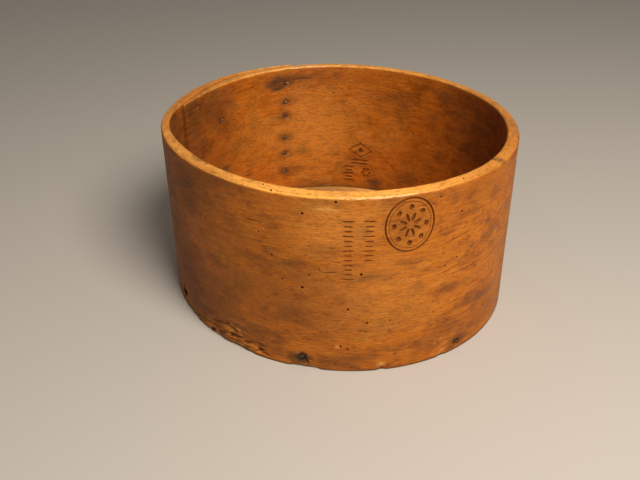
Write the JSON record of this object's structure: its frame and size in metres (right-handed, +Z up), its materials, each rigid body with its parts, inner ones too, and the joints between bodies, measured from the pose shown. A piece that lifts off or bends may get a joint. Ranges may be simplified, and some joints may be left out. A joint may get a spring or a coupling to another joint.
{
  "type": "bentwood measure",
  "caption": "Open oval measure for grain, bent from one strip of wood with nailed lapped ends and a board nailed into its foot; it is filled level with the rim to measure a volume.",
  "frame": {"origin": "middle of the foot, on the surface that the measure stands on", "axes": "+Z up, +X along the oval's long axis; the lapped ends of the strip are on the -X side"},
  "size_m": [0.204, 0.19, 0.1005],
  "materials": {
    "hoop_wood": "aged steam-bent hardwood, hand-polished, with grain along the strip",
    "board_wood": "aged planed board, worn dull",
    "nail_iron": "blackened and rusted wrought nails"
  },
  "bodies": {
    "root": {"hoop": "hoop_wood", "base_board": "board_wood", "base_nail_1": "nail_iron", "base_nail_2": "nail_iron", "base_nail_3": "nail_iron", "base_nail_4": "nail_iron", "base_nail_5": "nail_iron", "base_nail_6": "nail_iron", "base_nail_7": "nail_iron", "lap_nail_1": "nail_iron", "lap_nail_2": "nail_iron", "lap_nail_3": "nail_iron", "lap_nail_4": "nail_iron", "lap_nail_5": "nail_iron", "lap_nail_6": "nail_iron", "end_nail_1": "nail_iron", "end_nail_2": "nail_iron", "end_nail_3": "nail_iron", "end_nail_4": "nail_iron", "end_nail_5": "nail_iron"}
  },
  "joints": []
}
